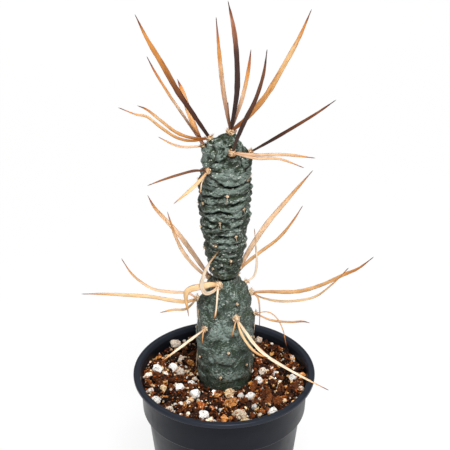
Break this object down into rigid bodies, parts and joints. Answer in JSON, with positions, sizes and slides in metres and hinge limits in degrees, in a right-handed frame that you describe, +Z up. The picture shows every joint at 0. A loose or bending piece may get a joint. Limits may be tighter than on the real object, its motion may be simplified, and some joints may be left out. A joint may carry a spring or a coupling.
{
  "type": "potted paper spine cactus",
  "caption": "Columnar jointed cactus with long flat papery spines, standing in grainy soil in a round nursery pot.",
  "frame": {"origin": "centre of the pot's flat underside", "axes": "+Z up along the pot's axis, -Y towards the front of the plant"},
  "size_m": [0.1584, 0.1147, 0.3121],
  "materials": {
    "pot_plastic": "satin charcoal injection moulded plastic",
    "potting_mix": "dark bark with orange chips, pumice and white perlite",
    "cactus_skin": "wrinkled grey green skin with a blue grey bloom on the ridges",
    "pale_spine": "straw coloured papery spine with fine lengthwise fibres",
    "brown_spine": "brown to tan papery spine with fine lengthwise fibres"
  },
  "bodies": {
    "root": {"pot": "pot_plastic", "soil": "potting_mix", "stem_lower": "cactus_skin", "stem_upper": "cactus_skin", "spines_low_front": "pale_spine", "spines_low_left": "pale_spine", "spines_low_back_left": "pale_spine", "spines_low_right": "pale_spine", "spines_low_right_upright": "pale_spine", "spines_low_back_right": "pale_spine", "spines_low_side_right": "pale_spine", "spines_low_front_right": "pale_spine", "spines_low_front_left": "pale_spine", "spines_low_back": "pale_spine", "spines_low_back_side": "pale_spine", "spines_crown": "brown_spine", "spines_top_left": "brown_spine", "spines_top_back_left": "brown_spine", "spines_top_front": "brown_spine", "spines_top_right": "brown_spine", "spines_mid_left": "brown_spine", "spines_top_back": "brown_spine", "spines_mid_back": "brown_spine"}
  },
  "joints": []
}
